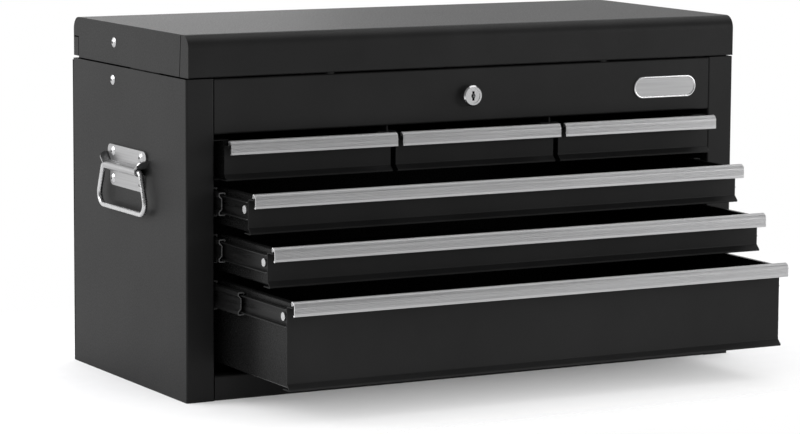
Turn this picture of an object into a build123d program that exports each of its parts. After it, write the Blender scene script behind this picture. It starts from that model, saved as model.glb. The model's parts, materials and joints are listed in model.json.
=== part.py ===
from build123d import *
import os

# Portable steel tool chest: a hinged lid over a top compartment, three small drawers and three wide ones.
# Millimetres. The origin is the middle of the base, +X is to the right, -Y is the front and +Z is up.
# The wide drawers stand partly open, and everything else is shut.

os.makedirs("parts", exist_ok=True)

# Cabinet shell
cabinet_width = 600.0
cabinet_depth = 262.0
cabinet_height = 300.0
sheet = 0.8
bend = 1.8
seam = 0.2
overrun = 4.0
pillar_width = 28.5
pillar_return = 30.0
back_flange = 14.0
rail_height = 23.5
rail_return = 14.0
floor_flange = 12.0
fascia_height = 51.5
fascia_return = 12.0
compartment_lip = 9.0
top_return = 8.0
post_depth = 26.0
post_flange = 12.0

# Lid
lid_gap = 1.2
lid_back_rise = 1.3
lid_height = 39.3
lid_end_inset = 1.5
lid_front_overhang = 2.0
lid_bend = 12.0
lid_front_return = 14.0
lid_front_tab = 18.5
lid_tab_slant = 3.0
lid_back_tab = 11.0
lid_back_tab_height = 19.5
lid_seam = 1.2
lid_end_flange = 12.0
buffer_diameter = 10.0
buffer_spread = 300.0

# Piano hinge
hinge_length = 540.0
knuckle_count = 9
knuckle_radius = 2.3
knuckle_gap = 0.4
hinge_pin_radius = 1.2
running_clearance = 0.05
leaf_sheet = 0.8
leaf_height = 18.0

# Drawer fronts and rows
front_gap = 6.0
front_proud = 9.0
row_clearance = 4.0
row_gap = 5.5
shallow_front_shares = 19
deep_front_shares = 41
deep_foot_gap = 8.5
small_gap = 5.5
small_count = 3
shallow_row_count = 3
upper_opening = 50.0
middle_opening = 89.0
lower_opening = 128.0
flare_height = 6.0
flare_depth = 4.5
flare_edge = 1.6
flare_bend = 0.5
front_return = 8.0
pull_shelf = 10.9
pull_lip_height = 5.0
pull_lip_drop = 1.3

# Pull extrusion
pull_wall = 1.1
pull_reach = 15.0
pull_height = 13.4
pull_round = 5.0
pull_hook = 4.2
pull_tail = 2.6
pull_tail_rise = 1.6
pull_tail_bend = 0.9
pull_fit = 0.15
flute_radius = 0.4
flute_pitch = 1.25
flute_count = 5
nose_flute_count = 5
nose_flute_turn = 14.5

# Trays
tray_rim = 5.0
tray_rim_drop = 2.5
wide_tray_back_room = 22.0
small_tray_back_room = 30.0
small_tray_inset = 2.5
runner_clearance = 0.3
runner_ledge = 10.0
runner_setback = 3.0

# Telescopic slides
slide_space = 10.0
slide_drop = 16.5
slide_sheet = 1.0
slide_bend = 1.4
slide_clearance = 0.35
fixed_member_height = 27.0
middle_member_height = 21.4
drawer_member_height = 16.6
middle_member_inset = 2.0
drawer_member_depth = 5.6
slide_rib_height = 9.0
slide_rib_depth = 2.6
slide_rib_bend = 1.0
slide_end_gap = 1.5
slide_front_room = 12.0
slide_back_room = 21.0
moving_member_room = 28.0
slide_standout = 5.0
lower_slide_standout = 45.0
slide_rivet_setback = 12.0
slide_rivet_back_setback = 17.0

# Rivets
rivet_head_diameter = 9.6
rivet_head_height = 1.7
rivet_shank_diameter = 4.4
rivet_fit = 0.1
rivet_recess_diameter = 2.8
rivet_recess_depth = 1.1
slide_rivet_shank_diameter = 3.4
slide_rivet_head_diameter = 7.6
slide_rivet_head_height = 1.3

# Lid stays
stay_setback = 96.5
stay_cabinet_drop = 13.7
stay_lid_rise = 20.8
stay_link_width = 13.0
stay_link_sheet = 1.5
stay_link_gap = 0.5
stay_pin_diameter = 4.0
stay_shoulder_diameter = 8.0
stay_tail_height = 1.2
elbow_fit = 0.3

# Lock
lock_x = -1.8
lock_drop = 26.5
lock_face_diameter = 20.0
lock_proud = 8.0
lock_face_chamfer = 1.2
lock_body_diameter = 16.0
lock_body_length = 24.0
lock_bore_diameter = 14.0
lock_nut_width = 22.0
lock_nut_thickness = 4.0
plug_recess = 0.6
plug_overhang = 1.5
keyhole_width = 2.4
keyhole_height = 9.0
keyhole_core_diameter = 4.6
keyhole_depth = 6.0
cam_sheet = 2.0
cam_width = 11.0
cam_reach = 19.0
cam_stud_diameter = 6.0
cam_stud_head_diameter = 9.0
cam_stud_head_height = 1.6
catch_sheet = 1.5
catch_width = 14.0
catch_offset = 19.0
catch_drop_setback = 19.0
catch_lip = 15.0
catch_clearance = 0.8

# Bail handles
handle_y = -1.0
handle_drop = 94.7
handle_plate_width = 88.0
handle_lower_width = 77.0
handle_plate_height = 39.0
handle_plate_sheet = 1.6
handle_corner = 6.0
handle_shoulder_rise = 4.5
handle_shoulder_height = 8.0
handle_rivet_spread_y = 64.5
handle_rivet_spread_z = 26.0
channel_length = 74.5
channel_wall = 1.2
bail_wire_diameter = 5.0
bail_standoff = 6.6
bail_fit = 0.3
bail_top_spread = 85.3
bail_bottom_spread = 114.7
bail_drop = 39.3
bail_pivot_length = 24.0
bail_top_bend = 5.0
bail_bottom_bend = 11.0
ear_reach = 10.5
ear_length = 13.0
ear_root = 1.5
ear_corner = 8.0
ear_lean = 50.0

# Places that follow from the sizes
half_width = cabinet_width / 2
front_y = -cabinet_depth / 2
back_y = cabinet_depth / 2
inner_half = half_width - sheet
opening_half = half_width - pillar_width
fascia_z = cabinet_height - fascia_height
floor_front_y = front_y + bend + seam
floor_back_y = back_y - sheet - bend - seam
compartment_z = fascia_z + sheet
lid_half = half_width - lid_end_inset
lid_front_y = front_y - lid_front_overhang
lid_z = cabinet_height + lid_gap
lid_back_z = lid_z + lid_back_rise
lid_top_z = lid_z + lid_height
hinge_y = back_y + knuckle_radius
hinge_z = cabinet_height + (lid_gap + lid_back_rise) / 2
front_half = opening_half - front_gap
shut_face_y = front_y - front_proud
tray_half = opening_half - slide_space
small_width = (2 * front_half - (small_count - 1) * small_gap) / small_count
small_pitch = small_width + small_gap
top_row_z = fascia_z - row_clearance
fronts_height = top_row_z - shallow_row_count * row_gap - rail_height - deep_foot_gap
front_share_height = fronts_height / (shallow_row_count * shallow_front_shares + deep_front_shares)
shallow_front_height = shallow_front_shares * front_share_height
deep_front_height = deep_front_shares * front_share_height
upper_row_z = top_row_z - shallow_front_height - row_gap
middle_row_z = upper_row_z - shallow_front_height - row_gap
lower_row_z = middle_row_z - shallow_front_height - row_gap
wide_tray_depth = cabinet_depth - wide_tray_back_room
small_tray_depth = cabinet_depth - small_tray_back_room
runner_front_y = front_y + runner_setback
fixed_front_y = front_y + slide_front_room
fixed_member_length = back_y - slide_back_room - fixed_front_y
moving_member_length = cabinet_depth - moving_member_room
slide_rivet_span = moving_member_length - slide_rivet_setback - slide_rivet_back_setback
stay_pivot_y = back_y - stay_setback
stay_cabinet_pivot_z = cabinet_height - stay_cabinet_drop
stay_lid_pivot_z = lid_z + stay_lid_rise
lock_z = cabinet_height - lock_drop
handle_z = cabinet_height - handle_drop
bail_plane_x = -half_width - bail_standoff

# Row top, front height and opening of each wide drawer
wide_drawers = {
    "upper": (upper_row_z, shallow_front_height, upper_opening),
    "middle": (middle_row_z, shallow_front_height, middle_opening),
    "lower": (lower_row_z, deep_front_height, lower_opening),
}
# How far the middle slide members of each wide drawer stand out of the cabinet
slide_standouts = {"upper": slide_standout, "middle": slide_standout, "lower": lower_slide_standout}
# Middle of each small drawer across the chest
small_drawers = {"left": -small_pitch, "centre": 0, "right": small_pitch}


def save(piece, name):
    """Label a finished piece and write it."""
    piece.part.label = name
    export_step(piece.part, f"parts/{name}.step")


def folded_sheet(plane, points, radii, thickness=sheet):
    """Section of a sheet whose one surface follows the points, with a bend radius at each corner.

    The thickness lies to the left of the way along the points, or to the right if it is negative.
    """
    corners = [Vector(*point) for point in points]
    lefts = [(end - start).normalized().rotate(Axis.Z, 90) for start, end in zip(corners, corners[1:])]
    far_points = [corners[0] + lefts[0] * thickness]
    far_radii = []
    for corner, before, after, radius in zip(corners[1:], lefts, lefts[1:], radii):
        far_points.append(corner + (before + after) * (thickness / (1 + before.dot(after))))
        turn = 1 if before.cross(after).Z > 0 else -1
        far_radii.append(max(radius - turn * thickness, 0) if radius else 0)
    far_points.append(corners[-1] + lefts[-1] * thickness)
    with BuildSketch(plane) as section:
        with BuildLine():
            FilletPolyline(*corners, radius=radii)
            FilletPolyline(*far_points, radius=far_radii)
            Line(corners[0], far_points[0])
            Line(corners[-1], far_points[-1])
        make_face()
    return section.sketch


def span_box(x_span, y_span, z_span, mode=Mode.ADD):
    """Box between two limits on each axis, in the part in hand."""
    spans = (x_span, y_span, z_span)
    middle = tuple((low + high) / 2 for low, high in spans)
    size = tuple(high - low for low, high in spans)
    with Locations(middle):
        Box(*size, mode=mode)


def turned(plane, profile, dome=None):
    """Solid turned about the plane's x axis from (along, radius) points, with a domed start if given."""
    with BuildSketch(plane) as section:
        with BuildLine():
            start = profile[0]
            if dome:
                start = (profile[0][0] - dome, 0)
                TangentArc(start, profile[0], tangent=(0, 1))
            Polyline(*profile)
            if profile[-1] != start:
                Line(profile[-1], start)
        make_face()
    return revolve(section.sketch, axis=Axis(plane.origin, plane.x_dir), mode=Mode.PRIVATE)


def rivet_profile(head_diameter, steps):
    """Points of a stepped rivet behind its head, from (diameter, length) steps."""
    points = [(0, head_diameter / 2)]
    along = 0
    for diameter, length in steps:
        points += [(along, diameter / 2), (along + length, diameter / 2)]
        along += length
    return points + [(along, 0)]


def pop_rivet(plane, profile):
    """Domed rivet in the part in hand, with the recess that its drawn pin leaves."""
    add(turned(plane, profile, rivet_head_height))
    recess_radius = rivet_recess_diameter / 2
    recess_end = rivet_recess_depth - rivet_head_height
    recess = [(-overrun, 0), (-overrun, recess_radius), (recess_end, recess_radius), (recess_end, 0)]
    add(turned(plane, recess), mode=Mode.SUBTRACT)


def along_x(x, y, z):
    """Plane whose x axis is +X, for turning a piece that lies across the chest."""
    return Plane(origin=(x, y, z), x_dir=(1, 0, 0), z_dir=(0, 0, 1))


def along_y(x, y, z):
    """Plane whose x axis is +Y, for turning a piece that points to the back."""
    return Plane(origin=(x, y, z), x_dir=(0, 1, 0), z_dir=(0, 0, 1))


# Side panels: the skin, its back flange, and the front pillar with the return that carries the slides
handle_rivet_spots = [
    (handle_y + side_y * handle_rivet_spread_y / 2, handle_z + side_z * handle_rivet_spread_z / 2)
    for side_y in (-1, 1)
    for side_z in (-1, 1)
]
side_points = [
    (-half_width + back_flange, back_y - sheet),
    (-half_width, back_y - sheet),
    (-half_width, front_y),
    (-opening_half, front_y),
    (-opening_half, front_y + pillar_return),
]
rivet_hole_radius = rivet_shank_diameter / 2 + rivet_fit
with BuildPart() as left_side_panel:
    extrude(folded_sheet(Plane.XY, side_points, 3 * [bend]), amount=cabinet_height)
    span_box((-half_width + bend, 0), (front_y + bend, back_y), (0, sheet + seam), mode=Mode.SUBTRACT)
    span_box(
        (-opening_half - bend, 0),
        (front_y + bend, 0),
        (fascia_z, cabinet_height + overrun),
        mode=Mode.SUBTRACT,
    )
    with BuildSketch(Plane.YZ.offset(-half_width)):
        with Locations(*handle_rivet_spots, (stay_pivot_y, stay_cabinet_pivot_z)):
            Circle(rivet_hole_radius)
    extrude(amount=overrun, both=True, mode=Mode.SUBTRACT)
save(left_side_panel, "left_side_panel")

with BuildPart() as right_side_panel:
    mirror(left_side_panel.part, about=Plane.YZ)
save(right_side_panel, "right_side_panel")

# Back panel, with a stiffening return along its top edge
back_points = [(back_y - top_return, cabinet_height), (back_y, cabinet_height), (back_y, 0)]
return_half = half_width - back_flange - seam
with BuildPart() as back_panel:
    extrude(folded_sheet(Plane.YZ, back_points, [bend], -sheet), amount=return_half, both=True)
    for side in (-1, 1):
        edges_x = sorted((side * (return_half - bend), side * half_width))
        span_box(edges_x, (back_y - sheet, back_y), (0, cabinet_height - bend))
save(back_panel, "back_panel")

# Bottom panel: the front rail, the floor and the back flange in one fold, with wings behind the pillars
bottom_points = [
    (front_y + rail_return, rail_height),
    (front_y, rail_height),
    (front_y, 0),
    (floor_back_y, 0),
    (floor_back_y, floor_flange),
]
with BuildPart() as bottom_panel:
    extrude(folded_sheet(Plane.YZ, bottom_points, 3 * [bend]), amount=opening_half - seam, both=True)
    for side in (-1, 1):
        wing_x = sorted((side * (opening_half - bend), side * (inner_half - seam)))
        span_box(wing_x, (floor_front_y, floor_back_y - bend), (0, sheet))
save(bottom_panel, "bottom_panel")

# Front fascia over the drawers, with the lock's hole
fascia_points = [
    (front_y + fascia_return, fascia_z),
    (front_y, fascia_z),
    (front_y, cabinet_height),
    (front_y + fascia_return, cabinet_height),
]
with BuildPart() as front_fascia:
    extrude(folded_sheet(Plane.YZ, fascia_points, 2 * [bend], -sheet), amount=opening_half - seam, both=True)
    with BuildSketch(Plane.XZ.offset(-front_y)):
        with Locations((lock_x, lock_z)):
            Circle(lock_body_diameter / 2 + rivet_fit)
    extrude(amount=overrun, both=True, mode=Mode.SUBTRACT)
save(front_fascia, "front_fascia")

# Tray that floors the top compartment
with BuildPart() as compartment_tray:
    span_box(
        (-inner_half + seam, inner_half - seam),
        (floor_front_y, floor_back_y),
        (compartment_z, compartment_z + compartment_lip),
    )
    offset(amount=-sheet, openings=compartment_tray.faces().sort_by(Axis.Z)[-1])
save(compartment_tray, "compartment_tray")

# Rear posts, which carry the back ends of the slides
post_points = [
    (-opening_half, back_y - sheet - post_depth),
    (-opening_half, back_y - sheet),
    (-opening_half - post_flange, back_y - sheet),
]
with BuildPart() as rear_posts:
    extrude(folded_sheet(Plane.XY.offset(sheet), post_points, [bend]), amount=fascia_z)
    mirror(about=Plane.YZ)
save(rear_posts, "rear_posts")

# Dividers between the small drawers: two channels back to back, hung under the compartment
ledge_top_z = top_row_z - shallow_front_height + sheet - runner_clearance
guide_z = top_row_z - tray_rim_drop + runner_clearance
runner_back_y = back_y - sheet
with BuildPart() as drawer_dividers:
    web_x = small_pitch / 2
    flange_x = (web_x - runner_ledge, web_x + runner_ledge)
    span_y = (runner_front_y, floor_back_y)
    span_box((web_x - sheet, web_x + sheet), span_y, (ledge_top_z - sheet, fascia_z))
    for flange_z in (ledge_top_z - sheet, guide_z):
        span_box(flange_x, span_y, (flange_z, flange_z + sheet))
    span_box(flange_x, (front_y + fascia_return + seam, floor_back_y), (fascia_z, compartment_z))
    mirror(about=Plane.YZ)
save(drawer_dividers, "drawer_dividers")

# Side runners of the outer small drawers: channels on the pillar returns and the rear posts
runner_points = [
    (-front_half + runner_ledge, guide_z + sheet),
    (-opening_half, guide_z + sheet),
    (-opening_half, ledge_top_z - sheet),
    (-front_half + runner_ledge, ledge_top_z - sheet),
]
with BuildPart() as small_drawer_runners:
    runner_plane = Plane.XZ.offset(-runner_front_y)
    extrude(folded_sheet(runner_plane, runner_points, 2 * [bend]), amount=runner_front_y - runner_back_y)
    mirror(about=Plane.YZ)
save(small_drawer_runners, "small_drawer_runners")


def slide_channel(y_front, z, outer_x, inner_x, height, lip_tip, ribbed=False):
    """Lipped channel section of a slide member, open towards inner_x, with a rib along its web if asked."""
    half = height / 2
    rib_x = outer_x + slide_rib_depth
    rib_half = slide_rib_height / 2
    rib_foot = rib_half + slide_rib_depth
    rib = [(outer_x, z + rib_foot), (rib_x, z + rib_half), (rib_x, z - rib_half), (outer_x, z - rib_foot)]
    web = rib if ribbed else []
    points = [
        (inner_x, z + lip_tip),
        (inner_x, z + half),
        (outer_x, z + half),
        *web,
        (outer_x, z - half),
        (inner_x, z - half),
        (inner_x, z - lip_tip),
    ]
    radii = [0, slide_bend, *(slide_rib_bend for corner in web), slide_bend, 0]
    return folded_sheet(Plane.XZ.offset(-y_front), points, radii, slide_sheet)


# Fixed slide members on the pillar returns and the rear posts
fixed_inner_x = -tray_half - slide_end_gap
fixed_lip_tip = middle_member_height / 2 + slide_clearance
with BuildPart() as slide_outer_members:
    for row_z, front_height, opening in wide_drawers.values():
        section = slide_channel(
            fixed_front_y,
            row_z - slide_drop,
            -opening_half,
            fixed_inner_x,
            fixed_member_height,
            fixed_lip_tip,
        )
        extrude(section, amount=-fixed_member_length)
    mirror(about=Plane.YZ)
save(slide_outer_members, "slide_outer_members")

# Middle slide members, which float between the fixed ones and each wide drawer's own
drawer_web_x = -tray_half - slide_sheet
middle_outer_x = -opening_half + middle_member_inset
middle_lip_tip = drawer_member_height / 2 + slide_clearance
for drawer, (row_z, front_height, opening) in wide_drawers.items():
    with BuildPart() as slide_middle_members:
        section = slide_channel(
            front_y - slide_standouts[drawer],
            row_z - slide_drop,
            middle_outer_x,
            drawer_web_x - slide_clearance,
            middle_member_height,
            middle_lip_tip,
            ribbed=True,
        )
        extrude(section, amount=-moving_member_length)
        mirror(about=Plane.YZ)
    save(slide_middle_members, f"{drawer}_slide_middle_members")


def drawer_front(middle_x, face_y, row_z, front_height):
    """Section of a drawer front: the pull's shelf and upturned lip, the face, and the flared foot."""
    foot_z = row_z - front_height
    shelf_y = face_y - pull_shelf
    shelf_z = row_z - pull_lip_drop - pull_lip_height
    flare_y = face_y - flare_depth
    points = [
        (shelf_y, row_z - pull_lip_drop),
        (shelf_y, shelf_z),
        (face_y, shelf_z),
        (face_y, foot_z + flare_height),
        (flare_y, foot_z + flare_edge),
        (flare_y, foot_z),
        (face_y + front_return, foot_z),
    ]
    return folded_sheet(Plane.YZ.offset(middle_x), points, 3 * [bend] + 2 * [flare_bend])


def drawer_pull(middle_x, face_y, row_z):
    """Section of the pull: an open hook that clips over the front's lip, a rounded nose and a fluted face."""
    hook_y = face_y - pull_shelf + sheet + pull_fit + pull_wall
    nose_y = face_y - pull_reach
    tail_y = nose_y + pull_tail
    foot_z = row_z - pull_height
    points = [
        (hook_y, row_z - pull_hook),
        (hook_y, row_z),
        (nose_y, row_z),
        (nose_y, foot_z),
        (tail_y, foot_z),
        (tail_y, foot_z + pull_tail_rise),
    ]
    radii = [pull_wall, pull_round, pull_tail_bend, pull_tail_bend]
    rib_y = face_y - pull_shelf - pull_fit - pull_wall / 2
    face_flutes = [(nose_y, row_z - pull_round - step * flute_pitch) for step in range(flute_count)]
    round_middle = Vector(nose_y + pull_round, row_z - pull_round)
    round_start = Vector(-pull_round, 0)
    nose_flutes = [
        round_middle + round_start.rotate(Axis.Z, -nose_flute_turn * step)
        for step in range(1, nose_flute_count + 1)
    ]
    with BuildSketch(Plane.YZ.offset(middle_x)) as section:
        add(folded_sheet(Plane.XY, points, radii, pull_wall))
        with Locations((rib_y, row_z - pull_hook / 2)):
            Rectangle(pull_wall, pull_hook - pull_wall)
        with Locations(*face_flutes, *nose_flutes):
            Circle(flute_radius, mode=Mode.SUBTRACT)
    return section.sketch


def drawer_tray(middle_x, half, y_front, depth, floor_z, rim_z):
    """Open tray folded from one sheet with inturned rims, with its back wall."""
    points = [
        (middle_x - half + tray_rim, rim_z),
        (middle_x - half, rim_z),
        (middle_x - half, floor_z),
        (middle_x + half, floor_z),
        (middle_x + half, rim_z),
        (middle_x + half - tray_rim, rim_z),
    ]
    y_back = y_front + depth
    with BuildPart() as tray:
        extrude(folded_sheet(Plane.XZ.offset(-y_front), points, 4 * [bend]), amount=-depth)
        wall_half = half - sheet / 2
        wall_x = (middle_x - wall_half, middle_x + wall_half)
        span_box(wall_x, (y_back - sheet, y_back), (floor_z + bend, rim_z - bend))
        span_box((wall_x[0] + bend, wall_x[1] - bend), (y_back - sheet, y_back), (floor_z, rim_z))
    return tray


def save_front_and_pull(drawer, middle_x, half, face_y, row_z, front_height):
    """Make the front of one drawer and the pull that clips on it."""
    with BuildPart() as front:
        extrude(drawer_front(middle_x, face_y, row_z, front_height), amount=half, both=True)
    save(front, f"{drawer}_front")
    with BuildPart() as pull:
        extrude(drawer_pull(middle_x, face_y, row_z), amount=half, both=True)
    save(pull, f"{drawer}_pull")


# Small drawers, shut
for drawer, middle_x in small_drawers.items():
    name = f"{drawer}_small_drawer"
    save_front_and_pull(name, middle_x, small_width / 2, shut_face_y, top_row_z, shallow_front_height)
    small_tray = drawer_tray(
        middle_x,
        small_width / 2 - small_tray_inset,
        shut_face_y + sheet,
        small_tray_depth,
        top_row_z - shallow_front_height + sheet,
        top_row_z - tray_rim_drop,
    )
    save(small_tray, f"{name}_tray")

# Wide drawers, each at its own opening
slide_rivet_hole_radius = slide_rivet_shank_diameter / 2 + rivet_fit
for drawer, (row_z, front_height, opening) in wide_drawers.items():
    face_y = shut_face_y - opening
    slide_z = row_z - slide_drop
    rivet_spots = [
        (face_y + slide_rivet_setback, slide_z),
        (face_y + slide_rivet_setback + slide_rivet_span, slide_z),
    ]
    save_front_and_pull(f"{drawer}_drawer", 0, front_half, face_y, row_z, front_height)
    tray = drawer_tray(
        0,
        tray_half,
        face_y + sheet,
        wide_tray_depth,
        row_z - front_height + sheet,
        row_z - tray_rim_drop,
    )
    with BuildPart() as wide_tray:
        add(tray.part)
        with BuildSketch(Plane.YZ):
            with Locations(*rivet_spots):
                Circle(slide_rivet_hole_radius)
        extrude(amount=tray_half, both=True, mode=Mode.SUBTRACT)
    save(wide_tray, f"{drawer}_drawer_tray")

    half = drawer_member_height / 2
    member_points = [
        (-tray_half - drawer_member_depth, slide_z + half),
        (-tray_half, slide_z + half),
        (-tray_half, slide_z - half),
        (-tray_half - drawer_member_depth, slide_z - half),
    ]
    member_plane = Plane.XZ.offset(-face_y - 2 * sheet)
    with BuildPart() as drawer_slides:
        section = folded_sheet(member_plane, member_points, 2 * [slide_bend], -slide_sheet)
        extrude(section, amount=-moving_member_length)
        with BuildSketch(Plane.YZ.offset(-tray_half)):
            with Locations(*rivet_spots):
                Circle(slide_rivet_hole_radius)
        extrude(amount=slide_sheet, both=True, mode=Mode.SUBTRACT)
        mirror(about=Plane.YZ)
    save(drawer_slides, f"{drawer}_drawer_slides")

    slide_rivet_points = [
        (-slide_rivet_head_height, 0),
        (-slide_rivet_head_height, slide_rivet_head_diameter / 2),
    ] + rivet_profile(slide_rivet_head_diameter, [(slide_rivet_shank_diameter, slide_sheet + sheet)])
    with BuildPart() as slide_rivets:
        for spot_y, spot_z in rivet_spots:
            add(turned(along_x(drawer_web_x, spot_y, spot_z), slide_rivet_points))
        mirror(about=Plane.YZ)
    save(slide_rivets, f"{drawer}_drawer_slide_rivets")

# Lid shell: front return, front skirt, top and back skirt in one fold, with tabs wrapped onto the ends
lid_points = [
    (lid_front_y + lid_front_return, lid_z),
    (lid_front_y, lid_z),
    (lid_front_y, lid_top_z),
    (back_y, lid_top_z),
    (back_y, lid_back_z),
]


def lid_end_outline(inset):
    """Outline of the lid's end in the sketch in hand, inset from the skin and rounded like the folds."""
    with Locations(((lid_front_y + back_y) / 2, lid_z)):
        outline = Rectangle(
            back_y - lid_front_y - 2 * inset,
            lid_height - inset,
            align=(Align.CENTER, Align.MIN),
        )
    fillet(outline.vertices().group_by(Axis.Y)[-1], radius=lid_bend)


def lid_tabs(seam_width, back_foot_z):
    """Outlines of the front and back tabs on the lid's end, with the seam round them if it has a width."""
    front_edge_y = lid_front_y + lid_front_tab + seam_width
    back_edge_y = back_y - lid_back_tab - seam_width
    back_tab_z = lid_z + lid_back_tab_height + seam_width
    front_tab = [
        (lid_front_y, lid_z),
        (front_edge_y, lid_z),
        (front_edge_y - lid_tab_slant, lid_top_z),
        (lid_front_y, lid_top_z),
    ]
    back_tab = [
        (back_edge_y, back_foot_z),
        (back_y, back_foot_z),
        (back_y, back_tab_z),
        (back_edge_y, back_tab_z),
    ]
    return front_tab, back_tab


with BuildPart() as lid_shell:
    section = folded_sheet(Plane.YZ, lid_points, [bend, lid_bend, lid_bend], -sheet)
    extrude(section, amount=lid_half, both=True)
    for tab_x in (-lid_half, lid_half - sheet):
        for tab in lid_tabs(0, lid_back_z):
            with BuildSketch(Plane.YZ.offset(tab_x)):
                lid_end_outline(0)
                Polygon(*tab, align=None, mode=Mode.INTERSECT)
            extrude(amount=sheet)
save(lid_shell, "lid_shell")

# Lid end panels, let in flush under the top between the tabs
end_top_z = lid_top_z - sheet
with BuildPart() as lid_end_panels:
    with BuildSketch(Plane.YZ.offset(-lid_half)):
        lid_end_outline(sheet)
        for tab in lid_tabs(lid_seam, lid_z):
            Polygon(*tab, align=None, mode=Mode.SUBTRACT)
        with Locations((stay_pivot_y, stay_lid_pivot_z)):
            Circle(rivet_hole_radius, mode=Mode.SUBTRACT)
    extrude(amount=sheet)
    span_box(
        (-lid_half, -lid_half + lid_end_flange),
        (lid_front_y + lid_front_tab + bend, back_y - lid_bend - bend),
        (end_top_z - sheet, end_top_z),
    )
    mirror(about=Plane.YZ)
save(lid_end_panels, "lid_end_panels")

# Rubber buffers that the shut lid rests on
with BuildPart() as lid_buffers:
    with BuildSketch(Plane.XY.offset(cabinet_height)):
        with GridLocations(buffer_spread, 0, 2, 1):
            with Locations((0, front_y + fascia_return / 2)):
                Circle(buffer_diameter / 2)
    extrude(amount=lid_gap - seam)
save(lid_buffers, "lid_buffers")


def hinge_leaf(direction, first_knuckle):
    """Leaf of the piano hinge that reaches up (1) or down (-1) from the pin, with every other knuckle."""
    pitch = hinge_length / knuckle_count
    leaf_y = (back_y, back_y + leaf_sheet)
    tab_z = hinge_z + direction * (knuckle_radius + knuckle_gap)
    with BuildPart() as leaf:
        leaf_z = sorted((tab_z, hinge_z + direction * leaf_height))
        span_box((-hinge_length / 2, hinge_length / 2), leaf_y, leaf_z)
        for knuckle in range(first_knuckle, knuckle_count, 2):
            start_x = -hinge_length / 2 + knuckle * pitch + knuckle_gap / 2
            end_x = start_x + pitch - knuckle_gap
            span_box((start_x, end_x), leaf_y, sorted((hinge_z, tab_z)))
            with BuildSketch(Plane.YZ.offset(start_x)):
                with Locations((hinge_y, hinge_z)):
                    Circle(knuckle_radius)
            extrude(amount=end_x - start_x)
        with BuildSketch(Plane.YZ):
            with Locations((hinge_y, hinge_z)):
                Circle(hinge_pin_radius + running_clearance)
        extrude(amount=hinge_length, both=True, mode=Mode.SUBTRACT)
    return leaf


save(hinge_leaf(-1, 0), "hinge_cabinet_leaf")
save(hinge_leaf(1, 1), "hinge_lid_leaf")

with BuildPart() as hinge_pin:
    with BuildSketch(Plane.YZ):
        with Locations((hinge_y, hinge_z)):
            Circle(hinge_pin_radius)
    extrude(amount=hinge_length / 2, both=True)
save(hinge_pin, "hinge_pin")

# Folding lid stays: each link is as long as the other link's pivot is far from the hinge,
# so links, lid and cabinet make a parallelogram that folds flat behind the wall
lower_link_x = -lid_half + sheet + stay_link_gap
upper_link_x = lower_link_x + stay_link_sheet + stay_link_gap
elbow_y = 2 * stay_pivot_y - hinge_y
elbow_z = stay_cabinet_pivot_z + stay_lid_pivot_z - hinge_z


def stay_links(plane_x, pivot_z, elbow_hole_radius):
    """Pair of flat links from the wall pivots to the elbows, with round ends."""
    middle = ((stay_pivot_y + elbow_y) / 2, (pivot_z + elbow_z) / 2)
    with BuildPart() as links:
        with BuildSketch(Plane.YZ.offset(plane_x)):
            SlotCenterPoint(middle, (elbow_y, elbow_z), stay_link_width)
            with Locations((stay_pivot_y, pivot_z)):
                Circle(stay_pin_diameter / 2 + running_clearance, mode=Mode.SUBTRACT)
            with Locations((elbow_y, elbow_z)):
                Circle(elbow_hole_radius, mode=Mode.SUBTRACT)
        extrude(amount=stay_link_sheet)
        mirror(about=Plane.YZ)
    return links


save(stay_links(lower_link_x, stay_cabinet_pivot_z, stay_pin_diameter / 2 + rivet_fit), "lower_stay_links")
save(stay_links(upper_link_x, stay_lid_pivot_z, stay_pin_diameter / 2 + elbow_fit), "upper_stay_links")


def stay_rivets(wall_x, pivot_z, link_x):
    """Pair of shouldered rivets that hold a link off the wall and let it turn."""
    steps = [
        (rivet_shank_diameter, sheet),
        (stay_shoulder_diameter, link_x - wall_x - sheet - running_clearance),
        (stay_pin_diameter, stay_link_sheet + 2 * running_clearance),
        (stay_shoulder_diameter, stay_tail_height),
    ]
    profile = rivet_profile(rivet_head_diameter, steps)
    with BuildPart() as rivets:
        pop_rivet(along_x(wall_x, stay_pivot_y, pivot_z), profile)
        mirror(about=Plane.YZ)
    return rivets


save(stay_rivets(-half_width, stay_cabinet_pivot_z, lower_link_x), "cabinet_stay_rivets")
save(stay_rivets(-lid_half, stay_lid_pivot_z, upper_link_x), "lid_stay_rivets")

# Elbow rivets, flush in the lower links and loose in the upper ones
elbow_length = 2 * stay_link_sheet + stay_link_gap + running_clearance
elbow_points = [
    (0, 0),
    (0, stay_pin_diameter / 2),
    (elbow_length, stay_pin_diameter / 2),
    (elbow_length, stay_shoulder_diameter / 2),
    (elbow_length + stay_tail_height, stay_shoulder_diameter / 2),
    (elbow_length + stay_tail_height, 0),
]
with BuildPart() as stay_elbow_rivets:
    add(turned(along_x(lower_link_x, elbow_y, elbow_z), elbow_points))
    mirror(about=Plane.YZ)
save(stay_elbow_rivets, "stay_elbow_rivets")

# Lock housing, clamped in the fascia by its nut
lock_face_radius = lock_face_diameter / 2
lock_body_radius = lock_body_diameter / 2
lock_bore_radius = lock_bore_diameter / 2
lock_front_y = front_y - lock_proud
lock_length = lock_proud + lock_body_length
housing_points = [
    (0, lock_bore_radius),
    (0, lock_face_radius - lock_face_chamfer),
    (lock_face_chamfer, lock_face_radius),
    (lock_proud, lock_face_radius),
    (lock_proud, lock_body_radius),
    (lock_length, lock_body_radius),
    (lock_length, lock_bore_radius),
]
with BuildPart() as lock_housing:
    add(turned(along_y(lock_x, lock_front_y, lock_z), housing_points))
save(lock_housing, "lock_housing")

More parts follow.
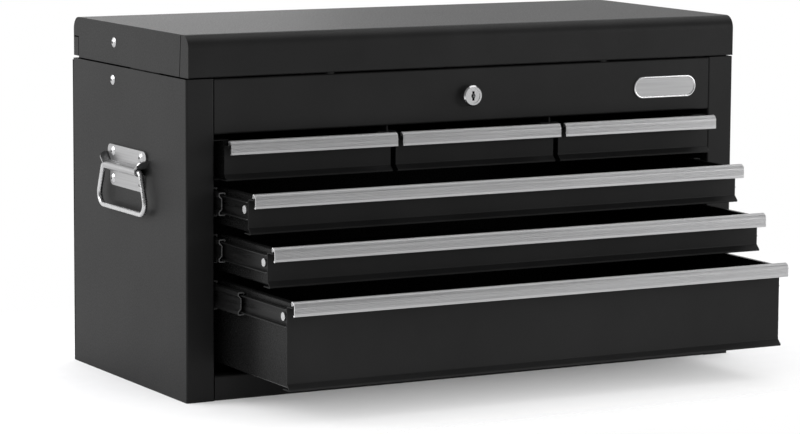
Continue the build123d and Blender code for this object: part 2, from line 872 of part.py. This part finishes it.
with BuildPart() as lock_nut:
    with BuildSketch(Plane.XZ.offset(-front_y - sheet)):
        with Locations((lock_x, lock_z)):
            RegularPolygon(lock_nut_width / 2, side_count=6, major_radius=False)
            Circle(lock_body_radius + rivet_fit, mode=Mode.SUBTRACT)
    extrude(amount=-lock_nut_thickness)
save(lock_nut, "lock_nut")

# Lock plug: the turning core with the keyhole, and the stud that the cam is riveted on
plug_face_y = lock_front_y + plug_recess
plug_radius = lock_bore_radius - running_clearance
plug_length = lock_length - plug_recess + plug_overhang
stud_length = plug_length + cam_sheet
plug_points = [
    (0, 0),
    (0, plug_radius),
    (plug_length, plug_radius),
    (plug_length, cam_stud_diameter / 2),
    (stud_length, cam_stud_diameter / 2),
    (stud_length, cam_stud_head_diameter / 2),
    (stud_length + cam_stud_head_height, cam_stud_head_diameter / 2),
    (stud_length + cam_stud_head_height, 0),
]
with BuildPart() as lock_plug:
    add(turned(along_y(lock_x, plug_face_y, lock_z), plug_points))
    with BuildSketch(Plane.XZ.offset(-plug_face_y)):
        with Locations((lock_x, lock_z)):
            Rectangle(keyhole_width, keyhole_height)
            Circle(keyhole_core_diameter / 2)
    extrude(amount=-keyhole_depth, mode=Mode.SUBTRACT)
save(lock_plug, "lock_plug")

# Lock cam, which stands up when unlocked and turns over the lid catch's lip
cam_y = plug_face_y + plug_length
with BuildPart() as lock_cam:
    with BuildSketch(Plane.XZ.offset(-cam_y)):
        SlotCenterPoint((lock_x, lock_z + cam_reach / 2), (lock_x, lock_z + cam_reach), cam_width)
        with Locations((lock_x, lock_z)):
            Circle(cam_stud_diameter / 2 + rivet_fit, mode=Mode.SUBTRACT)
    extrude(amount=-cam_sheet)
save(lock_cam, "lock_cam")

# Lid catch: a folded strip from the lid's front return down to the lip under the cam
catch_lip_z = lock_z - cam_width / 2 - catch_clearance - catch_sheet
catch_drop_y = front_y + catch_drop_setback
catch_points = [
    (lid_front_y + bend + seam, lid_z + sheet),
    (catch_drop_y, lid_z + sheet),
    (catch_drop_y, catch_lip_z),
    (catch_drop_y + catch_lip, catch_lip_z),
]
with BuildPart() as lid_catch:
    section = folded_sheet(Plane.YZ.offset(lock_x + catch_offset), catch_points, 2 * [bend], catch_sheet)
    extrude(section, amount=catch_width / 2, both=True)
save(lid_catch, "lid_catch")

# Handle plates: two flaps and a half-round tunnel for the bail, with ears flared out from its ends
bail_radius = bail_wire_diameter / 2
tunnel_radius = bail_radius + bail_fit
channel_radius = tunnel_radius + channel_wall
flap_height = handle_plate_height / 2
shoulder_top = handle_shoulder_rise + handle_shoulder_height
upper_flap = [
    (channel_length / 2, 0),
    (channel_length / 2, handle_shoulder_rise),
    (handle_plate_width / 2, shoulder_top),
    (handle_plate_width / 2, flap_height),
]
with BuildPart() as left_handle_plate:
    with BuildSketch(Plane.YZ.offset(-half_width)):
        with Locations((handle_y, handle_z)):
            Polygon(*upper_flap, *((-y, z) for y, z in upper_flap[::-1]), align=None)
        with Locations((handle_y, handle_z - flap_height / 2)):
            Rectangle(handle_lower_width, flap_height)
    extrude(amount=-handle_plate_sheet)
    outer_corners = left_handle_plate.edges().filter_by(Axis.X).group_by(Axis.Z)
    fillet(outer_corners[0] + outer_corners[-1], radius=handle_corner)
    channel_plane = Plane.XZ.offset(-handle_y)
    with BuildSketch(channel_plane):
        with Locations((bail_plane_x, handle_z)):
            Circle(channel_radius)
        with Locations(((bail_plane_x - half_width) / 2, handle_z)):
            Rectangle(bail_standoff, 2 * channel_radius)
    extrude(amount=channel_length / 2, both=True)
    for end in (-1, 1):
        ear_plane = Plane(
            origin=(-half_width, handle_y + end * channel_length / 2, handle_z + tunnel_radius),
            x_dir=(-1, 0, 0),
            z_dir=Vector(0, 1, 0).rotate(Axis.X, -end * ear_lean),
        )
        with BuildSketch(ear_plane):
            with Locations((ear_reach / 2, (ear_length - ear_root) / 2)):
                ear = Rectangle(ear_reach, ear_length + ear_root)
            fillet(ear.vertices().group_by(Axis.X)[-1].sort_by(Axis.Y)[-1], radius=ear_corner)
        extrude(amount=channel_wall / 2, both=True)
    with BuildSketch(channel_plane):
        with Locations((bail_plane_x, handle_z)):
            Circle(tunnel_radius)
        with Locations(((bail_plane_x - half_width) / 2, handle_z)):
            Rectangle(bail_standoff, 2 * tunnel_radius)
    extrude(amount=handle_plate_width, both=True, mode=Mode.SUBTRACT)
    with BuildSketch(Plane.YZ.offset(-half_width)):
        with Locations(*handle_rivet_spots):
            Circle(rivet_hole_radius)
    extrude(amount=overrun, both=True, mode=Mode.SUBTRACT)
save(left_handle_plate, "left_handle_plate")

with BuildPart() as right_handle_plate:
    mirror(left_handle_plate.part, about=Plane.YZ)
save(right_handle_plate, "right_handle_plate")

handle_rivet_points = rivet_profile(rivet_head_diameter, [(rivet_shank_diameter, handle_plate_sheet + sheet)])
with BuildPart() as handle_rivets:
    for spot_y, spot_z in handle_rivet_spots:
        pop_rivet(along_x(-half_width - handle_plate_sheet, spot_y, spot_z), handle_rivet_points)
    mirror(about=Plane.YZ)
save(handle_rivets, "handle_rivets")

# Bails: wire loops that hang from the tunnels by their inturned ends
bail_path_points = []
for end in (-1, 1):
    top_y = handle_y + end * bail_top_spread / 2
    leg_points = [
        (top_y - end * bail_pivot_length, handle_z),
        (top_y, handle_z),
        (handle_y + end * bail_bottom_spread / 2, handle_z - bail_drop),
    ]
    bail_path_points += leg_points[::-end]
bail_radii = [bail_top_bend, bail_bottom_bend, bail_bottom_bend, bail_top_bend]
with BuildPart() as left_bail:
    with BuildLine(Plane.YZ.offset(bail_plane_x)) as wire:
        FilletPolyline(*bail_path_points, radius=bail_radii)
    with BuildSketch(Plane(origin=wire.line @ 0, z_dir=wire.line % 0)):
        Circle(bail_radius)
    sweep(path=wire.line)
save(left_bail, "left_bail")

with BuildPart() as right_bail:
    mirror(left_bail.part, about=Plane.YZ)
save(right_bail, "right_bail")
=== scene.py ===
import json
import math

import bmesh
import bpy
from mathutils import Matrix, Vector


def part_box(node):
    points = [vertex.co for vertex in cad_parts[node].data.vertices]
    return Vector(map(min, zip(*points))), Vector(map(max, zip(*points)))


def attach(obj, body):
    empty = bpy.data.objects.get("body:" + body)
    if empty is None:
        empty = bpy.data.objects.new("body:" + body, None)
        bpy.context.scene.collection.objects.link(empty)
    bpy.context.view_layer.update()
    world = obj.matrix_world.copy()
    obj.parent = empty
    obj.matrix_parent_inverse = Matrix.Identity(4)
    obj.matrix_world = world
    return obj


# Looks of the portable tool chest. Metres, in the frame of the solids.
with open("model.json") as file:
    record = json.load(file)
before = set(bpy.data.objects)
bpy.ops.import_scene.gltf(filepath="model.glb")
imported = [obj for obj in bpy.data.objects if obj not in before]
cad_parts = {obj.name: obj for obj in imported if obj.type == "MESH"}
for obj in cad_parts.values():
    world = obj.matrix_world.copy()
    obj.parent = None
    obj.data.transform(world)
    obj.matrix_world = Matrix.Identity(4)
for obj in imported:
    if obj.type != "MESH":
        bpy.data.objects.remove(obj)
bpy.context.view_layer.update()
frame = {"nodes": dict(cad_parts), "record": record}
scene = bpy.context.scene
scene.view_settings.view_transform = "Standard"

MM = 0.001
WHITE = (1, 1, 1, 1)

# Materials: the span of a noise that counts, the blue in a grey, and the drawing out of brushed lines
NOISE_LOW = 0.3
NOISE_HIGH = 0.7
COOL_TINT = 1.01
BRUSHED_SQUEEZE = 0.012

# Badge: its middle lies this far from the right end and the foot of the fascia
BADGE_LENGTH = 72 * MM
BADGE_HEIGHT = 21.5 * MM
BADGE_FROM_END = 51.6 * MM
BADGE_FROM_FOOT = 24.2 * MM
BADGE_END_STEPS = 24
# Inset from the badge's outline and rise from the fascia, in mm, over the rim and down to the field
BADGE_RINGS = ((0, 0), (0, 0.8), (0.25, 1.15), (0.6, 1.3), (1.5, 1.3), (1.8, 1.15), (2.0, 0.85))

# Camera at the photograph's place: angles in degrees, focal length and image width in pixels
CAMERA_AZIMUTH = -28.673
CAMERA_ELEVATION = 7.712
CAMERA_ROLL = 0.3187
CAMERA_TARGET = Vector((-0.005149, 0, 0.140482))
CAMERA_DISTANCE = 3.32156
CAMERA_REACH = 50
FOCAL_LENGTH = 3342.43
IMAGE_WIDTH = 800
SENSOR_WIDTH_IN_MM = 36

# Surroundings
AMBIENT_LEVEL = 1.04

# Floor: its fade runs from start to end, counted in full along y and as a share along x
FLOOR_REACH = 4
FLOOR_DROP = 0.2 * MM
FLOOR_GLOW = 0.03
FLOOR_MIRROR_LOSS = 0.32
FADE_START = 0.06
FADE_END = 0.43
FADE_ACROSS_SHARE = 0.15


# Shader parts

def grey(shade):
    """Neutral colour with a trace of blue."""
    return (shade, shade, shade * COOL_TINT, 1)


def surface(name, shade, roughness, metallic=0.0, specular=0.5):
    """New material with one shader of plain values, its tree and the shader."""
    material = bpy.data.materials.new(name)
    material.use_nodes = True
    tree = material.node_tree
    shader = tree.nodes["Principled BSDF"]
    shader.inputs["Base Color"].default_value = grey(shade)
    shader.inputs["Roughness"].default_value = roughness
    shader.inputs["Metallic"].default_value = metallic
    shader.inputs["Specular IOR Level"].default_value = specular
    return material, tree, shader


def grain(tree, spots, detail, squeeze=(1, 1, 1)):
    """Noise fixed to the piece: about this many spots a metre, and fewer along an axis that is squeezed."""
    place = tree.nodes.new("ShaderNodeTexCoord")
    mapping = tree.nodes.new("ShaderNodeMapping")
    mapping.inputs["Scale"].default_value = squeeze
    texture = tree.nodes.new("ShaderNodeTexNoise")
    texture.inputs["Scale"].default_value = spots
    texture.inputs["Detail"].default_value = detail
    tree.links.new(place.outputs["Object"], mapping.inputs["Vector"])
    tree.links.new(mapping.outputs["Vector"], texture.inputs["Vector"])
    return texture.outputs["Fac"]


def ranged(tree, value, low, high, start=NOISE_LOW, end=NOISE_HIGH, curve="LINEAR"):
    """Value taken from start..end to low..high."""
    node = tree.nodes.new("ShaderNodeMapRange")
    node.interpolation_type = curve
    node.inputs["From Min"].default_value = start
    node.inputs["From Max"].default_value = end
    node.inputs["To Min"].default_value = low
    node.inputs["To Max"].default_value = high
    tree.links.new(value, node.inputs["Value"])
    return node.outputs["Result"]


def calculated(tree, operation, *values):
    """Result of a sum on one or two values."""
    node = tree.nodes.new("ShaderNodeMath")
    node.operation = operation
    for spot, value in enumerate(values):
        tree.links.new(value, node.inputs[spot])
    return node.outputs["Value"]


def blended(tree, value, dark, light):
    """Grey between two shades, by a noise."""
    node = tree.nodes.new("ShaderNodeValToRGB")
    for stop, place, shade in zip(node.color_ramp.elements, (NOISE_LOW, NOISE_HIGH), (dark, light)):
        stop.position = place
        stop.color = grey(shade)
    tree.links.new(value, node.inputs["Fac"])
    return node.outputs["Color"]


def shaded(tree, factor, colour, shade):
    """Colour that goes over to a grey shade as the factor goes to 1."""
    node = tree.nodes.new("ShaderNodeMix")
    node.data_type = "RGBA"
    node.inputs["B"].default_value = grey(shade)
    tree.links.new(factor, node.inputs["Factor"])
    tree.links.new(colour, node.inputs["A"])
    return node.outputs["Result"]


def bumped(tree, shader, value, height, strength, under=None):
    """Bump of this height in metres on the shader, over an earlier one if given."""
    node = tree.nodes.new("ShaderNodeBump")
    node.inputs["Strength"].default_value = strength
    node.inputs["Distance"].default_value = height
    tree.links.new(value, node.inputs["Height"])
    if under:
        tree.links.new(under, node.inputs["Normal"])
    tree.links.new(node.outputs["Normal"], shader.inputs["Normal"])
    return node.outputs["Normal"]


def cut_ends_and_recess_shade(tree, colour, axis, shade, start=0.8, end=0.95):
    """Colour with another shade on the faces square to an axis: the own colour of cut ends, or painted
    shade in recesses.
    """
    place = tree.nodes.new("ShaderNodeTexCoord")
    parts = tree.nodes.new("ShaderNodeSeparateXYZ")
    tree.links.new(place.outputs["Normal"], parts.inputs["Vector"])
    square = calculated(tree, "ABSOLUTE", parts.outputs[axis])
    return shaded(tree, ranged(tree, square, 0, 1, start, end), colour, shade)


def painted_hollow_shade(tree, colour, reach, shade):
    """Colour with painted shade in holes and grooves about this deep, in metres, where close surroundings
    are found.
    """
    open_air = tree.nodes.new("ShaderNodeAmbientOcclusion")
    open_air.only_local = True
    open_air.inputs["Distance"].default_value = reach
    return shaded(tree, ranged(tree, open_air.outputs["AO"], 1, 0, start=0.4, end=0.85), colour, shade)


def joined(tree, factor, first, second):
    """Shader between two, by a value."""
    node = tree.nodes.new("ShaderNodeMixShader")
    tree.links.new(factor, node.inputs["Fac"])
    tree.links.new(first, node.inputs[1])
    tree.links.new(second, node.inputs[2])
    return node.outputs["Shader"]


def glowing(tree, strength):
    """Shader that sends out white light."""
    node = tree.nodes.new("ShaderNodeEmission")
    node.inputs["Strength"].default_value = strength
    return node.outputs["Emission"]


def seen_directly(tree):
    """1 on rays from the camera, a shiny surface or a clear one."""
    rays = tree.nodes.new("ShaderNodeLightPath").outputs
    shiny = calculated(tree, "MAXIMUM", rays["Is Camera Ray"], rays["Is Glossy Ray"])
    return calculated(tree, "MAXIMUM", shiny, rays["Is Transmission Ray"])


# Materials

def powder_coat(name, shades, rough, specular):
    """Satin powder coat: orange peel over a slow waviness, with faint cloudiness."""
    material, tree, shader = surface(name, shades[0], rough[0], specular=specular)
    clouds = grain(tree, spots=14, detail=3)
    peel = grain(tree, spots=620, detail=2)
    waves = grain(tree, spots=60, detail=1)
    tree.links.new(blended(tree, clouds, *shades), shader.inputs["Base Color"])
    tree.links.new(ranged(tree, peel, *rough), shader.inputs["Roughness"])
    wavy = bumped(tree, shader, waves, height=0.16 * MM, strength=0.5)
    bumped(tree, shader, peel, height=0.12 * MM, strength=0.5, under=wavy)
    return material


def brushed(name, shades, rough, along, spots=700, ends=None):
    """Metal with fine lines along one axis, and another shade on its cut ends if given."""
    material, tree, shader = surface(name, shades[1], rough[0], metallic=1.0)
    squeeze = [BRUSHED_SQUEEZE if axis == along else 1 for axis in "XYZ"]
    lines = grain(tree, spots, detail=3, squeeze=squeeze)
    colour = blended(tree, lines, *shades)
    if ends:
        colour = cut_ends_and_recess_shade(tree, colour, along, ends)
    tree.links.new(colour, shader.inputs["Base Color"])
    tree.links.new(ranged(tree, lines, *rough), shader.inputs["Roughness"])
    bumped(tree, shader, lines, height=0.02 * MM, strength=0.4)
    return material


def plated(name, shades, rough, spots=160, height=0.01 * MM, recess=None, groove_depth=None):
    """Plated or polished metal with spangle and handling marks, and painted shade in recesses and in holes
    and grooves where given.
    """
    material, tree, shader = surface(name, shades[1], rough[0], metallic=1.0)
    spangle = grain(tree, spots, detail=4)
    marks = grain(tree, spots=900, detail=2, squeeze=(1, 0.2, 1))
    colour = blended(tree, spangle, *shades)
    # Painted shade in rivet recesses: faces nearly square to x take the dark shade
    if recess:
        colour = cut_ends_and_recess_shade(tree, colour, "X", recess, start=0.985, end=0.993)
    # Painted shade: the colour goes dark where surfaces close in, as in a keyhole or groove
    if groove_depth:
        colour = painted_hollow_shade(tree, colour, groove_depth, shade=0.01)
    tree.links.new(colour, shader.inputs["Base Color"])
    tree.links.new(ranged(tree, marks, *rough), shader.inputs["Roughness"])
    bumped(tree, shader, spangle, height, strength=0.3)
    return material


def slide_steel(name, shades, rough, ends, specular):
    """Black plated slide steel with greasy streaks, and bare sheared ends."""
    material, tree, shader = surface(name, shades[1], rough[0], specular=specular)
    streaks = grain(tree, spots=240, detail=3, squeeze=(1, 0.06, 1))
    colour = cut_ends_and_recess_shade(tree, blended(tree, streaks, *shades), "Y", ends)
    tree.links.new(colour, shader.inputs["Base Color"])
    tree.links.new(ranged(tree, streaks, *rough), shader.inputs["Roughness"])
    bumped(tree, shader, streaks, height=0.03 * MM, strength=0.4)
    return material


def rubber(name, shades, rough, specular):
    """Matt moulded rubber."""
    material, tree, shader = surface(name, shades[0], rough[0], specular=specular)
    dust = grain(tree, spots=500, detail=3)
    tree.links.new(blended(tree, dust, *shades), shader.inputs["Base Color"])
    tree.links.new(ranged(tree, dust, *rough), shader.inputs["Roughness"])
    bumped(tree, shader, dust, height=0.08 * MM, strength=0.5)
    return material


slot_finishes = {
    "black_paint": powder_coat("powder_coat", shades=(0.007, 0.010), rough=(0.40, 0.52), specular=0.19),
    "slide_black": slide_steel("slide_steel", (0.005, 0.011), rough=(0.24, 0.36), ends=0.1, specular=0.12),
    "zinc": plated("bright_zinc", shades=(0.56, 0.64), rough=(0.22, 0.30), height=0.002 * MM),
    # Chrome with painted shade in the lock's keyhole and grooves
    "chrome": plated("chrome", (0.66, 0.74), rough=(0.14, 0.22), spots=90, groove_depth=3 * MM),
    "aluminium": brushed("satin_aluminium", (0.49, 0.59), rough=(0.30, 0.40), along="X", ends=0.88),
    "rubber": rubber("rubber", shades=(0.016, 0.03), rough=(0.7, 0.9), specular=0.3),
}
# Rivets with painted shade in their recesses
rivet_zinc = plated("rivet_zinc", shades=(0.50, 0.58), rough=(0.30, 0.40), recess=0.02)

# Nodes whose names end like this have a finish of their own
own_finishes = {
    # Drawer trays: a darker, less shiny copy of the powder coat, as painted shade for the trays between the
    # drawers
    "drawer_tray": powder_coat("painted_shade_tray_coat", shades=(0.004, 0.006), rough=(0.24, 0.32), specular=0.10),
    "handle_plate": brushed("satin_zinc", shades=(0.38, 0.48), rough=(0.28, 0.38), along="Y"),
    "handle_rivets": rivet_zinc,
    "stay_rivets": rivet_zinc,
    "slide_rivets": plated("slide_rivet_zinc", shades=(0.52, 0.62), rough=(0.5, 0.6)),
}


def finish_of(node, slot):
    """Finish of a node: its own if it has one, or else that of its slot."""
    for ending, finish in own_finishes.items():
        if node.endswith(ending):
            return finish
    return slot_finishes[slot]


for subpart in frame["record"]["subparts"]:
    mesh = frame["nodes"][subpart["node"]].data
    mesh.materials.clear()
    mesh.materials.append(finish_of(subpart["node"], subpart["material_slot"]))


# Badge: a bare plate with a raised rim on the fascia

def stadium(half_length, radius):
    """Points round a bar with half-round ends, in x and z."""
    points = []
    for side in (1, -1):
        for step in range(BADGE_END_STEPS + 1):
            angle = math.radians(90 - 180 * step / BADGE_END_STEPS)
            points.append((
                side * (half_length - radius + radius * math.cos(angle)),
                side * radius * math.sin(angle),
            ))
    return points


def badge_plate(name, middle):
    """Plate with its back on the fascia, a rounded rim and a sunk field."""
    shape = bmesh.new()
    loops = []
    for inset, rise in BADGE_RINGS:
        outline = stadium(BADGE_LENGTH / 2 - inset * MM, BADGE_HEIGHT / 2 - inset * MM)
        corners = [middle + Vector((x, -rise * MM, z)) for x, z in outline]
        loops.append([shape.verts.new(corner) for corner in corners])
    for lower, upper in zip(loops, loops[1:]):
        for spot in range(len(lower)):
            after = (spot + 1) % len(lower)
            shape.faces.new((lower[spot], lower[after], upper[after], upper[spot]))
    field = shape.faces.new(loops[-1])
    field.material_index = 1
    shape.faces.new(loops[0][::-1])
    bmesh.ops.recalc_face_normals(shape, faces=shape.faces[:])
    mesh = bpy.data.meshes.new(name)
    shape.to_mesh(mesh)
    shape.free()
    for face in mesh.polygons:
        face.use_smooth = len(face.vertices) == 4
    plate = bpy.data.objects.new(name, mesh)
    scene.collection.objects.link(plate)
    return plate


fascia_low, fascia_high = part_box("front_fascia")
badge_middle = Vector((fascia_high.x - BADGE_FROM_END, fascia_low.y, fascia_low.z + BADGE_FROM_FOOT))
badge = badge_plate("badge_plate", badge_middle)
badge.data.materials.append(slot_finishes["chrome"])
badge.data.materials.append(brushed("badge_field", (0.36, 0.44), rough=(0.34, 0.46), along="X", spots=900))
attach(badge, "cabinet")


# Camera
azimuth = math.radians(CAMERA_AZIMUTH)
elevation = math.radians(CAMERA_ELEVATION)
roll = math.radians(CAMERA_ROLL)
back = Vector((
    math.sin(azimuth) * math.cos(elevation),
    -math.cos(azimuth) * math.cos(elevation),
    math.sin(elevation),
))
across = Vector((0, 0, 1)).cross(back).normalized()
upward = back.cross(across)
tilted_across = math.cos(roll) * across + math.sin(roll) * upward
tilted_up = math.cos(roll) * upward - math.sin(roll) * across
turn = Matrix((tilted_across, tilted_up, back)).transposed().to_4x4()
camera = bpy.data.objects.new("camera", bpy.data.cameras.new("camera"))
camera.data.sensor_width = SENSOR_WIDTH_IN_MM
camera.data.lens = SENSOR_WIDTH_IN_MM * FOCAL_LENGTH / IMAGE_WIDTH
camera.data.clip_end = CAMERA_REACH
camera.matrix_world = Matrix.Translation(CAMERA_TARGET + back * CAMERA_DISTANCE) @ turn
scene.collection.objects.link(camera)
scene.camera = camera


# Surroundings: a white room to the camera and to shiny or clear surfaces, and an even level to the rest

def white_background(node):
    """Light of a background node that is turned white, and the input of its strength."""
    node.inputs["Color"].default_value = WHITE
    return node.outputs["Background"], node.inputs["Strength"]


def dim_room(tree, towards, start, end, dimmest):
    """Level of the room that shiny surfaces show: white all round, and dimmer towards one direction."""
    place = tree.nodes.new("ShaderNodeTexCoord")
    facing = tree.nodes.new("ShaderNodeVectorMath")
    facing.operation = "DOT_PRODUCT"
    facing.inputs[1].default_value = Vector(towards).normalized()
    tree.links.new(place.outputs["Generated"], facing.inputs[0])
    level = ranged(tree, facing.outputs["Value"], 1.0, dimmest, start, end, curve="SMOOTHSTEP")
    rays = tree.nodes.new("ShaderNodeLightPath").outputs
    return calculated(tree, "MAXIMUM", level, rays["Is Camera Ray"])


scene.world = bpy.data.worlds.new("studio")
scene.world.use_nodes = True
sky = scene.world.node_tree
ambient, ambient_strength = white_background(sky.nodes["Background"])
ambient_strength.default_value = AMBIENT_LEVEL
room, room_strength = white_background(sky.nodes.new("ShaderNodeBackground"))
room_level = dim_room(sky, towards=(-0.15, -0.35, 0.92), start=-0.1, end=0.4, dimmest=0.2)
sky.links.new(room_level, room_strength)
chosen = joined(sky, seen_directly(sky), ambient, room)
sky.links.new(chosen, sky.nodes["World Output"].inputs["Surface"])


# Pale floor that fades into the white surroundings

def paper(name):
    """Matt paper, a little lighter to the eye and dimmer in reflections, that fades away from the chest."""
    material, tree, shader = surface(name, shade=0.94, roughness=0.9, specular=0.0)
    specks = grain(tree, spots=40, detail=3)
    tree.links.new(blended(tree, specks, 0.93, 0.95), shader.inputs["Base Color"])
    lift = ranged(tree, seen_directly(tree), 0, FLOOR_GLOW, start=0, end=1)
    lifted = joined(tree, lift, shader.outputs["BSDF"], glowing(tree, 1.0))
    rays = tree.nodes.new("ShaderNodeLightPath").outputs
    loss = ranged(tree, rays["Is Glossy Ray"], 0, FLOOR_MIRROR_LOSS, start=0, end=1)
    mirrored = joined(tree, loss, lifted, glowing(tree, 0.0))
    place = tree.nodes.new("ShaderNodeTexCoord")
    narrowed = tree.nodes.new("ShaderNodeMapping")
    narrowed.inputs["Scale"].default_value = (FADE_ACROSS_SHARE, 1, 1)
    distance = tree.nodes.new("ShaderNodeVectorMath")
    distance.operation = "LENGTH"
    tree.links.new(place.outputs["Object"], narrowed.inputs["Vector"])
    tree.links.new(narrowed.outputs["Vector"], distance.inputs[0])
    fade = ranged(tree, distance.outputs["Value"], 0, 1, FADE_START, FADE_END)
    clear = tree.nodes.new("ShaderNodeBsdfTransparent")
    faded = joined(tree, fade, mirrored, clear.outputs["BSDF"])
    tree.links.new(faded, tree.nodes["Material Output"].inputs["Surface"])
    return material


floor_mesh = bpy.data.meshes.new("floor")
floor_sides = ((-1, -1), (1, -1), (1, 1), (-1, 1))
floor_corners = [(across * FLOOR_REACH, along * FLOOR_REACH, 0) for across, along in floor_sides]
floor_mesh.from_pydata(floor_corners, [], [(0, 1, 2, 3)])
floor_mesh.materials.append(paper("paper_floor"))
floor = bpy.data.objects.new("floor", floor_mesh)
floor.location.z = -FLOOR_DROP
scene.collection.objects.link(floor)


# Soft lamps

def softbox(name, place, aim, size, power):
    """Rectangular lamp at a place, turned towards a point."""
    lamp = bpy.data.lights.new(name, "AREA")
    lamp.shape = "RECTANGLE"
    lamp.size, lamp.size_y = size
    lamp.energy = power
    holder = bpy.data.objects.new(name, lamp)
    holder.location = place
    holder.rotation_euler = (Vector(aim) - Vector(place)).to_track_quat("-Z", "Y").to_euler()
    scene.collection.objects.link(holder)


softbox("left_softbox", place=(-2.1, 0.9, 1.2), aim=(-0.2, 0, 0.2), size=(1.4, 1.2), power=37)
softbox("back_softbox", place=(0.5, 2.2, 0.85), aim=(-0.15, 0, 0.34), size=(1.0, 0.8), power=2.7)
softbox("top_softbox", place=(0.9, 0.1, 2.4), aim=(0, 0, 0.2), size=(2.2, 2.2), power=18)
softbox("right_softbox", place=(2.1, -2.0, 0.7), aim=(0.1, -0.2, 0.15), size=(1.2, 1.0), power=12.5)
